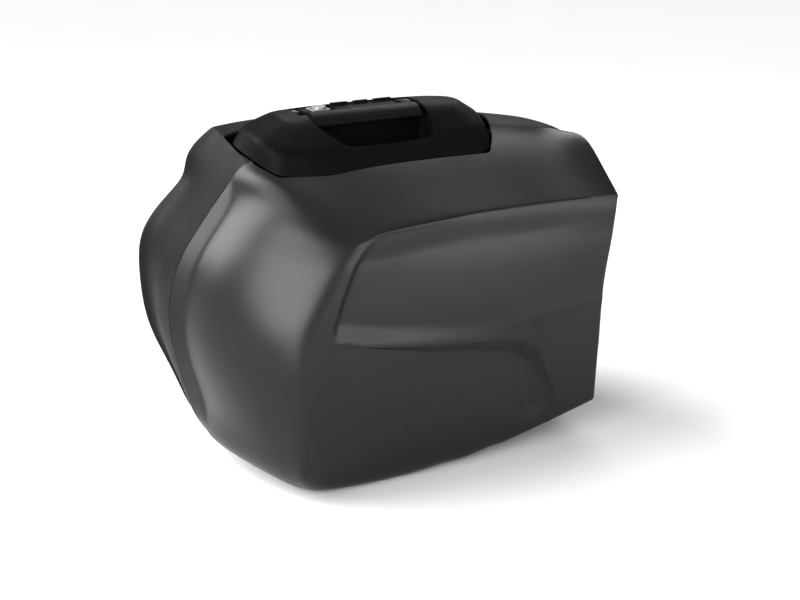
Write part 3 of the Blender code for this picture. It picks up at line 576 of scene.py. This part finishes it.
def normals(mesh):
    found = np.empty(len(mesh.vertices) * 3)
    mesh.vertices.foreach_get("normal", found)
    return found.reshape(-1, 3)


def set_coordinates(mesh, points):
    mesh.vertices.foreach_set("co", (points * MM).ravel())
    mesh.update()


def line_distances(points):
    """Signed distance across each sharp line of the outer face, and its direction, for every point."""
    x, z = points[:, 0], points[:, 2]
    found = []
    for line in (LIP, FOOT):
        gradient = at(line, x + 0.5) - at(line, x - 0.5)
        length = np.sqrt(1 + gradient**2)
        inside = (x > SHARP_X[0]) & (x < SHARP_X[1])
        found.append(((z - at(line, x)) / length, -gradient / length, 1 / length, inside))
    gradient = at(SCOOP_EDGE, z + 0.5) - at(SCOOP_EDGE, z - 0.5)
    length = np.sqrt(1 + gradient**2)
    inside = (z > SHARP_Z[0]) & (z < SHARP_Z[1])
    found.append(((x - at(SCOOP_EDGE, z)) / length, 1 / length, -gradient / length, inside))
    return found


def refine_near_lines(mesh, reach):
    """Halve the faces that lie near a sharp line of the outer face."""
    points = coordinates(mesh)
    outer = (points[:, 1] < OUTER_FACE_Y) & (normals(mesh)[:, 1] < OUTER_FACE_NORMAL_Y)
    near = np.zeros(len(points), bool)
    for distance, _, _, inside in line_distances(points):
        near |= outer & inside & (np.abs(distance) < reach)
    bm = bmesh.new()
    bm.from_mesh(mesh)
    bm.verts.ensure_lookup_table()
    chosen = [face for face in bm.faces if len(face.verts) == 4 and any(near[v.index] for v in face.verts)]
    edges = {edge for face in chosen for edge in face.edges}
    bmesh.ops.subdivide_edges(bm, edges=list(edges), cuts=1, use_grid_fill=True)
    bm.to_mesh(mesh)
    bm.free()
    mesh.update()


def snap_to_lines(mesh, spacing):
    """Slide the vertices nearest to a sharp line onto it, along the surface."""
    points, facing = coordinates(mesh), normals(mesh)
    outer = (points[:, 1] < OUTER_FACE_Y) & (facing[:, 1] < OUTER_FACE_NORMAL_Y)
    for distance, along_x, along_z, inside in line_distances(points):
        moved = outer & inside & (np.abs(distance) < spacing / 2)
        step_x = -distance * along_x * moved
        step_z = -distance * along_z * moved
        facing_y = np.minimum(facing[:, 1], OUTER_FACE_NORMAL_Y)
        step_y = -(facing[:, 0] * step_x + facing[:, 2] * step_z) / facing_y
        points += np.stack([step_x, step_y, step_z], 1) * moved[:, None]
    set_coordinates(mesh, points)


def make_lid():
    bm, grid, rings = tub_cage(LID_FACE, LID_DEPTHS, LID_INSETS, (0, 0, 0), LID_CORNERS, -PARTING_GAP / 2)
    grid[0][0].co = metres(LID_FRONT_FOOT)
    rings[1][-7].co = metres(LID_BAND_TOP)
    last = len(COLUMN_SHARES) - 1
    crease(bm, grid[-1], (0.0, 1.0))
    crease(bm, grid[0], (0.0, 0.8))
    crease(bm, [row[last] for row in grid], (0.8, 0.8))
    crease(bm, [row[0] for row in grid[:4]], (0.55, 0.35))
    rear_top = corner_position(LID_FACE, -1)
    crease(bm, [ring[rear_top] for ring in rings], (0.3, 0.3))
    rear_foot = corner_position(LID_FACE, -1, 0)
    crease(bm, [ring[rear_foot] for ring in rings[2:]], (0.8, 0.8))
    band = rings[1]
    crease(bm, band[-8:] + band[:1], (0.0, 0.7))
    lid = rounded_skin("painted_lid", bm, SKIN_LEVEL)
    modifier(lid, "SOLIDIFY", thickness=WALL * MM, offset=-1.0, use_even_offset=True)
    apply_all(lid)
    cut_openings(lid, -1)
    for i in range(REFINE_ROUNDS):
        refine_near_lines(lid.data, REFINE_REACH / 2**i)
    snap_to_lines(lid.data, CAGE_SPACING / 2 ** (SKIN_LEVEL + REFINE_ROUNDS))
    points, facing = coordinates(lid.data), normals(lid.data)
    across = ease((np.abs(facing[:, 1]) - RELIEF_LEAST_FACING) / RELIEF_FACING_FADE)
    across = across * (points[:, 1] < RELIEF_OUTBOARD_OF_Y)
    points[:, 1] += face_relief(points[:, 0], points[:, 2]) * across
    set_coordinates(lid.data, points)
    return place(lid, "lid", "paint", PAINT, "lid_shell", angle=16.0)


def make_inner_shell():
    bm, _, rings = tub_cage(BACK_FACE, BACK_DEPTHS, BACK_INSETS, BACK_CROWN, {}, PARTING_GAP / 2)
    front_top = corner_position(BACK_FACE, 0)
    crease(bm, [ring[front_top] for ring in rings], (0.6, 0.6))
    shell = rounded_skin("moulded_inner_shell", bm, SKIN_LEVEL)
    modifier(shell, "SOLIDIFY", thickness=WALL * MM, offset=-1.0, use_even_offset=True)
    apply_all(shell)
    cut_openings(shell, 1)
    return place(shell, "case", "shell_plastic", SHELL_PLASTIC, "inner_shell", angle=25.0)


# ---------------------------------------------------------------- handle console
def make_console():
    bm = bmesh.new()
    rings = [
        [bm.verts.new(metres(point)) for point in ring]
        for ring in (CONSOLE_SKIRT, CONSOLE_WALL, CONSOLE_CROWN)
    ]
    count = len(CONSOLE_SKIRT)
    for outer, inner in zip(rings, rings[1:]):
        for i in range(count):
            j = (i + 1) % count
            bm.faces.new((outer[i], outer[j], inner[j], inner[i]))
    top = rings[-1]
    for corners in CONSOLE_TOP_QUADS:
        bm.faces.new([top[i] for i in corners])
    bmesh.ops.recalc_face_normals(bm, faces=bm.faces)
    if max(bm.faces, key=lambda face: face.calc_center_median().z).normal.z < 0:
        bmesh.ops.reverse_faces(bm, faces=bm.faces)
    for ring, value in zip(rings, CONSOLE_RING_CREASES):
        crease(bm, ring + ring[:1], (value, value))
    for i in CONSOLE_CORNERS:
        crease(bm, [ring[i] for ring in rings], (CONSOLE_CORNER_CREASE, CONSOLE_CORNER_CREASE))
    console = add_object("console_cover", mesh_from(bm, "console_cover"))
    modifier(console, "SUBSURF", levels=4, render_levels=4)
    modifier(console, "SOLIDIFY", thickness=WALL * MM, offset=-1.0, use_even_offset=True)
    apply_all(console)
    outline = (
        (RECESS_X[0], RECESS_Y[1]), (RECESS_X[0], -12), (-52, RECESS_Y[0]), (54, RECESS_Y[0]),
        (RECESS_X[1], -24), (RECESS_X[1], RECESS_Y[1]),
    )
    boolean(console, prism(rounded(outline, 9), (340, 430)))
    boolean(console, box((BAY_X[0], BAY_Y[0], 383), (BAY_X[1], BAY_Y[1], 430)))
    return place(console, "case", "grained_plastic", GRAINED_PLASTIC, "handle_console")


def slope_cutter():
    """Everything above a plane just below the console's sloping outboard face."""
    low, high = CONSOLE_SLOPE
    slope = math.atan2(high[1] - low[1], high[0] - low[0])
    half = 30
    block = box((-200, -100, 0), (200, 60, 2 * half))
    middle = Vector((0, low[0] - half * math.sin(slope), low[1] + half * math.cos(slope)))
    block.data.transform(Matrix.Translation(metres((0, 20, -half))))
    block.data.transform(Matrix.Translation(metres(middle)) @ Matrix.Rotation(slope, 4, "X"))
    return block


def make_tray():
    tray = box((TRAY_X[0], TRAY_Y[0], TRAY_Z[0]), (TRAY_X[1], TRAY_Y[1], TRAY_Z[1]))
    tray.name = "recess_tray"
    low_x, high_x = TRAY_X[0] + TRAY_WALL, TRAY_X[1] - TRAY_WALL
    low_y, high_y = TRAY_Y[0] + TRAY_WALL, TRAY_Y[1] - TRAY_WALL
    finger = [(low_x, 17), (low_x, -12), (-54, low_y), (56, low_y), (high_x, -22), (high_x, 17)]
    boolean(tray, prism(rounded(finger, 8), (FINGER_FLOOR, TRAY_OPEN_TOP)))
    bay = [(low_x, 20), (high_x, 20), (high_x, high_y), (low_x, high_y)]
    boolean(tray, prism(rounded(bay, 3), (BAY_FLOOR, TRAY_OPEN_TOP)))
    boolean(tray, box((-200, BELOW_BAY_Y, 330), (200, 60, BAY_FLOOR - TRAY_WALL)))
    boolean(tray, slope_cutter())
    soften(tray, 0.8)
    return place(tray, "case", "grained_plastic", TRAY_PLASTIC, "finger_tray")


def make_grip():
    """The carry handle: a rounded bar on two arms, which turn on the handle's pins."""
    section = [
        (-9, 390.5), (-5.5, 394), (-1.5, 397.4), (4, 399.8), (15, 400.4),
        (15, 388), (11, 386), (2, 384.5), (-4, 384.5), (-8, 387),
    ]
    grip = bar_along_x("grip_bar", rounded(section, 3), (ARM_X[0][0], ARM_X[1][1]))
    y, z = HANDLE_PIVOT
    eye = arc(HANDLE_PIVOT, ARM_EYE_RADIUS, 75, -105, 16)
    profile = [(12, 388), (12, 399.6), (y - 1, 399.6)] + eye + [(y - 4, 388)]
    for span in ARM_X:
        boolean(grip, bar_along_x("helper_arm", profile, span), "UNION")
    boolean(grip, cylinder((-95, y, z), (75, y, z), PIN_HOLE_RADIUS))
    soften(grip, 1.1, 3, 40)
    return place(grip, "carry_handle", "grip_plastic", GRIP_PLASTIC, "carry_handle")


def make_lever():
    """The release lever, with three knobs on its raised edge."""
    y, z = LEVER_PIVOT
    profile = [
        (18.5, 394.5), (18.5, 397), (22, 399), (33, 399.5), (35, 403.5), (38, 403.5), (39, 398.5),
        (43, 397), (43, 393.5), (36, 392), (35, 387), (25, 387), (24, 392.5),
    ]
    lever = bar_along_x("lever_body", rounded(profile, 1.2, 3), LEVER_X)
    for x in LEVER_GAPS_X:
        boolean(lever, box((x, 33.2, 399.6), (x + LEVER_GAP_WIDTH, 45, CUT_TOP)))
    boolean(lever, cylinder((-60, y, z), (60, y, z), PIN_HOLE_RADIUS))
    soften(lever, 0.6, 2, 40)
    return place(lever, "release_lever", "grained_plastic", GRAINED_PLASTIC, "release_lever")


def make_lock():
    """The light housing, and in it the key barrel with its slot and a shallow ring round the slot."""
    x, y = LOCK_AXIS
    front, rear = (x + offset for offset in LOCK_HOUSING_X)
    outboard, inboard = LOCK_HOUSING_Y
    outline = [(front, outboard), (rear, outboard), (rear, inboard), (front, inboard)]
    housing = prism(rounded(outline, 3), (BAY_FLOOR + 0.3, LOCK_HOUSING_TOP))
    housing.name = "lock_body"
    boolean(housing, cylinder((x, y, 382), (x, y, CUT_TOP), LOCK_BORE_RADIUS, 64))
    soften(housing, 0.9)
    place(housing, "case", "light_plastic", LIGHT_PLASTIC, "lock_housing")
    barrel = cylinder((x, y, BARREL_Z[0]), (x, y, BARREL_Z[1]), BARREL_RADIUS, 64)
    barrel.name = "key_barrel"
    half_x, half_y = KEY_SLOT_HALF
    boolean(barrel, box((x - half_x, y - half_y, KEY_SLOT_FLOOR), (x + half_x, y + half_y, CUT_TOP)))
    inner, outer = KEY_RING_RADII
    ring = cylinder((x, y, KEY_RING_FLOOR), (x, y, 404), outer, 64)
    boolean(ring, cylinder((x, y, 400), (x, y, 405), inner, 64))
    boolean(barrel, ring)
    soften(barrel, 0.4)
    place(barrel, "lock", "satin_metal", SATIN_METAL, "lock_barrel")


# ---------------------------------------------------------------- check straps
STRAP_X = {"front": -190, "rear": 230}
STRAP_CASE_Y = 24.0
STRAP_LID_Y = -8.0
STRAP_TOP_Z = 252.0
STRAP_FOLD_Z = 120.0
STRAP_WIDTH = 20.0
STRAP_THICKNESS = 1.6
STRAP_RUN_STEPS = 44
STRAP_FOLD_STEPS = 40
STRAP_STEPS_ACROSS = 12


def make_check_straps():
    """Webbing in a hanging fold between its two clips, each strap one bent ribbon with rounded edges."""
    half = (STRAP_CASE_Y - STRAP_LID_Y) / 2
    middle = (STRAP_CASE_Y + STRAP_LID_Y) / 2
    run = STRAP_TOP_Z - STRAP_FOLD_Z
    straight = [(STRAP_CASE_Y, STRAP_TOP_Z - run * i / STRAP_RUN_STEPS) for i in range(STRAP_RUN_STEPS)]
    fold = arc((middle, STRAP_FOLD_Z), half, 0, -180, STRAP_FOLD_STEPS)
    back = [(STRAP_LID_Y, z) for _, z in reversed(straight)]
    path = straight + fold + back
    across = STRAP_STEPS_ACROSS
    for end, x in STRAP_X.items():
        bm = bmesh.new()
        rows = []
        for y, z in path:
            rows.append([
                bm.verts.new(metres((x + STRAP_WIDTH * (i / across - 0.5), y, z))) for i in range(across + 1)
            ])
        for a, b in zip(rows, rows[1:]):
            for i in range(across):
                bm.faces.new((a[i], a[i + 1], b[i + 1], b[i]))
        strap = add_object(f"strap_webbing_{end}", mesh_from(bm, "strap"))
        modifier(strap, "SOLIDIFY", thickness=STRAP_THICKNESS * MM, offset=0.0)
        apply_all(strap)
        soften(strap, 0.5, 2, 40)
        strap.data.transform(Matrix.Translation(metres(CASE_SHIFT)))
        strap.data.materials.clear()
        strap.data.materials.append(WEBBING)
        shade(strap)
        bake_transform(strap)
        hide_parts(f"check_strap_{end}")


# ---------------------------------------------------------------- materials
class Shader:
    """A node material under construction, in the piece's own coordinates."""

    def __init__(self, name):
        self.material = bpy.data.materials.new(name)
        self.material.use_nodes = True
        self.nodes = self.material.node_tree.nodes
        self.links = self.material.node_tree.links
        self.principled = self.nodes["Principled BSDF"]
        self.place = self.nodes.new("ShaderNodeTexCoord").outputs["Object"]

    def set(self, **values):
        for key, value in values.items():
            self.principled.inputs[key.replace("_", " ").title().replace("Ior", "IOR")].default_value = value
        return self

    def mapped(self, scale, rotation=(0, 0, 0)):
        node = self.nodes.new("ShaderNodeMapping")
        node.inputs["Scale"].default_value = scale
        node.inputs["Rotation"].default_value = rotation
        self.links.new(self.place, node.inputs["Vector"])
        return node.outputs["Vector"]

    def noise(self, scale, detail=3.0, roughness=0.55, stretch=(1, 1, 1)):
        node = self.nodes.new("ShaderNodeTexNoise")
        node.inputs["Scale"].default_value = scale
        node.inputs["Detail"].default_value = detail
        node.inputs["Roughness"].default_value = roughness
        self.links.new(self.mapped(stretch), node.inputs["Vector"])
        return node.outputs["Fac"]

    def cells(self, scale):
        node = self.nodes.new("ShaderNodeTexVoronoi")
        node.inputs["Scale"].default_value = scale
        self.links.new(self.mapped((1, 1, 1)), node.inputs["Vector"])
        return node.outputs["Distance"]

    def ranged(self, value, low, high, source=(0.3, 0.7)):
        node = self.nodes.new("ShaderNodeMapRange")
        node.inputs["From Min"].default_value, node.inputs["From Max"].default_value = source
        node.inputs["To Min"].default_value, node.inputs["To Max"].default_value = low, high
        self.links.new(value, node.inputs["Value"])
        return node.outputs["Result"]

    def colours(self, value, low, high, source=(0.3, 0.7)):
        node = self.nodes.new("ShaderNodeValToRGB")
        for element, position, colour in zip(node.color_ramp.elements, source, (low, high)):
            element.position = position
            element.color = (*colour, 1.0)
        self.links.new(value, node.inputs["Fac"])
        self.links.new(node.outputs["Color"], self.principled.inputs["Base Color"])
        return self

    def rough(self, value, low, high, source=(0.3, 0.7)):
        self.links.new(self.ranged(value, low, high, source), self.principled.inputs["Roughness"])
        return self

    def bump(self, *layers):
        """Each layer is a texture value, a strength and a depth in metres."""
        normal = None
        for value, strength, depth in layers:
            node = self.nodes.new("ShaderNodeBump")
            node.inputs["Strength"].default_value = strength
            node.inputs["Distance"].default_value = depth
            self.links.new(value, node.inputs["Height"])
            if normal is not None:
                self.links.new(normal, node.inputs["Normal"])
            normal = node.outputs["Normal"]
        self.links.new(normal, self.principled.inputs["Normal"])
        return self


def grey(level, tint=0.0):
    return (level * (1 - tint), level, level * (1 + tint))


def paint_material():
    shader = Shader("satin_metallic_paint")
    shader.set(metallic=0.8, coat_weight=0.05, coat_roughness=0.35, specular_ior_level=0.16)
    flake = shader.noise(2600, 1.0)
    drift = shader.noise(6, 2.0)
    shader.colours(flake, grey(0.014, 0.01), grey(0.024, 0.02))
    shader.rough(drift, 0.35, 0.39)
    shader.bump((shader.noise(2600, 1.0), 0.12, 0.00006), (shader.noise(260, 2.0), 0.10, 0.00012))
    return shader.material


def moulded_material(name, level, rough, grain, depth, gloss=0.4):
    shader = Shader(name)
    shader.set(specular_ior_level=gloss)
    shader.colours(shader.noise(14, 3.0), grey(level * 0.85), grey(level * 1.15))
    shader.rough(shader.noise(45, 3.0), rough - 0.04, rough + 0.05)
    shader.bump((shader.cells(grain), 0.5, depth), (shader.noise(grain * 2.2, 2.0), 0.35, depth))
    return shader.material


def metal_material(name, level, rough, metallic=1.0):
    shader = Shader(name)
    shader.set(metallic=metallic)
    shader.colours(shader.noise(90, 4.0), grey(level * 0.86, -0.01), grey(level * 1.1, -0.01))
    brushed = shader.noise(700, 3.0, stretch=(0.06, 1, 1))
    shader.rough(brushed, rough - 0.05, rough + 0.08)
    shader.bump((brushed, 0.25, 0.00004))
    return shader.material


def rubber_material():
    shader = Shader("moulded_rubber")
    shader.colours(shader.noise(60, 4.0), grey(0.014), grey(0.026))
    shader.rough(shader.noise(200, 2.0), 0.78, 0.9)
    shader.bump((shader.noise(1500, 3.0), 0.4, 0.00006))
    return shader.material


def webbing_material():
    """Two families of yarns, across and along the strap."""
    shader = Shader("woven_webbing")
    waves = []
    for direction, scale in (("X", 210), ("Z", 330)):
        node = shader.nodes.new("ShaderNodeTexWave")
        node.bands_direction = direction
        node.inputs["Scale"].default_value = scale
        node.inputs["Distortion"].default_value = 0.6
        shader.links.new(shader.place, node.inputs["Vector"])
        waves.append(node.outputs["Fac"])
    weave = shader.nodes.new("ShaderNodeMath")
    weave.operation = "MULTIPLY"
    shader.links.new(waves[0], weave.inputs[0])
    shader.links.new(waves[1], weave.inputs[1])
    shader.colours(weave.outputs["Value"], grey(0.010), grey(0.032), (0.1, 0.8))
    shader.rough(shader.noise(300, 2.0), 0.75, 0.92)
    shader.bump((weave.outputs["Value"], 0.8, 0.0003))
    return shader.material


PAINT = paint_material()
# Name, grey level, roughness, grain per metre, grain depth in metres, specular level.
SHELL_PLASTIC = moulded_material("satin_black_moulding", 0.004, 0.5, 900, 0.00008, 0.045)
GRAINED_PLASTIC = moulded_material("grained_black_moulding", 0.0015, 0.5, 1100, 0.00010, 0.03)
TRAY_PLASTIC = moulded_material("matte_black_moulding", 0.0015, 0.7, 1100, 0.00010, 0.02)
GRIP_PLASTIC = moulded_material("grip_moulding", 0.002, 0.45, 1300, 0.00008, 0.04)
LIGHT_PLASTIC = moulded_material("light_grey_moulding", 0.08, 0.45, 1000, 0.00006)
# Name, grey level, roughness, share of metal.
COATED_STEEL = metal_material("black_coated_steel", 0.03, 0.45, 0.5)
ZINC_STEEL = metal_material("zinc_plated_steel", 0.5, 0.34)
SATIN_METAL = metal_material("satin_steel", 0.22, 0.5)
RUBBER = rubber_material()
WEBBING = webbing_material()
SLOT_FINISH = {
    "paint": PAINT,
    "shell_plastic": SHELL_PLASTIC,
    "grained_plastic": GRAINED_PLASTIC,
    "grip_plastic": GRIP_PLASTIC,
    "light_plastic": LIGHT_PLASTIC,
    "coated_steel": COATED_STEEL,
    "zinc_steel": ZINC_STEEL,
    "satin_metal": SATIN_METAL,
    "rubber": RUBBER,
    "webbing": WEBBING,
}


CAD_EDGE_RADIUS = 0.35
CAD_EDGE_ANGLE = 35


def finish_cad_nodes():
    """Give every CAD node its slot's material and slightly rounded edges."""
    slots = {part["node"]: part["material_slot"] for part in frame["record"]["subparts"]}
    for name, node in frame["nodes"].items():
        node.data.materials.clear()
        node.data.materials.append(SLOT_FINISH[slots[name]])
        modifier(node, "WELD", merge_threshold=1e-5)
        modifier(node, "BEVEL", width=CAD_EDGE_RADIUS * MM, segments=2, limit_method="ANGLE",
                 angle_limit=math.radians(CAD_EDGE_ANGLE))


# ---------------------------------------------------------------- camera, floor and light
CAMERA_AZIMUTH = -29.5
CAMERA_ELEVATION = 19
CAMERA_SENSOR = 36
CAMERA_LENS = 59.4
CAMERA_PLACE = (-0.7057, -1.2920, 0.6823)
FLOOR_SIZE = 20


def aim(obj, location, target):
    obj.location = location
    obj.rotation_euler = (Vector(target) - Vector(location)).to_track_quat("-Z", "Y").to_euler()


def make_camera():
    azimuth, elevation = math.radians(CAMERA_AZIMUTH), math.radians(CAMERA_ELEVATION)
    back = Vector((
        math.sin(azimuth) * math.cos(elevation), -math.cos(azimuth) * math.cos(elevation), math.sin(elevation)
    ))
    data = bpy.data.cameras.new("camera")
    data.sensor_width = CAMERA_SENSOR
    data.lens = CAMERA_LENS
    data.clip_end = 100
    camera = bpy.data.objects.new("camera", data)
    bpy.context.scene.collection.objects.link(camera)
    camera.location = CAMERA_PLACE
    camera.rotation_euler = back.to_track_quat("Z", "Y").to_euler()
    bpy.context.scene.camera = camera


def softbox(name, location, target, size, power):
    data = bpy.data.lights.new(name, "AREA")
    data.shape = "RECTANGLE"
    data.size, data.size_y = size
    data.energy = power
    light = bpy.data.objects.new(name, data)
    bpy.context.scene.collection.objects.link(light)
    aim(light, location, target)


WORLD_LIGHT = 0.16
SUN_STRENGTH = 9.5
SUN_WIDTH = 54.0
SUN_FROM = (-1.35, 1.0, 1.35)
# Location, target, width and height, watts.
SOFTBOXES = {
    "key": ((-1.8, -1.45, 1.05), (-0.1, -0.05, 0.25), (2.2, 1.5), 140),
    "overhead": ((-0.9, -0.1, 2.2), (-0.1, 0, 0.3), (1.2, 1.2), 25),
    "top_back": ((1.0, 1.1, 1.7), (0, 0, 0.3), (1.5, 1.5), 26),
    "front_fill": ((1.3, -2.1, 0.65), (0, -0.1, 0.3), (2.0, 1.2), 46),
}


def make_stage():
    bm = bmesh.new()
    bmesh.ops.create_grid(bm, x_segments=1, y_segments=1, size=FLOOR_SIZE)
    floor = add_object("floor", mesh_from(bm, "floor"))
    shader = Shader("pale_floor")
    shader.colours(shader.noise(3, 2.0), grey(0.43), grey(0.44))
    shader.set(roughness=0.9)
    floor.data.materials.append(shader.material)
    world = bpy.data.worlds.new("studio")
    world.use_nodes = True
    world.node_tree.nodes["Background"].inputs["Color"].default_value = (1, 1, 1, 1)
    world.node_tree.nodes["Background"].inputs["Strength"].default_value = WORLD_LIGHT
    bpy.context.scene.world = world
    bpy.context.scene.view_settings.view_transform = "Standard"
    for name, (location, target, size, power) in SOFTBOXES.items():
        softbox(name, location, target, size, power)
    data = bpy.data.lights.new("soft_sun", "SUN")
    data.energy = SUN_STRENGTH
    data.angle = math.radians(SUN_WIDTH)
    sun = bpy.data.objects.new("soft_sun", data)
    bpy.context.scene.collection.objects.link(sun)
    aim(sun, SUN_FROM, (0, 0, 0))


make_camera()
make_stage()
finish_cad_nodes()
make_lid()
make_inner_shell()
make_console()
make_tray()
make_grip()
make_lever()
make_lock()
make_check_straps()
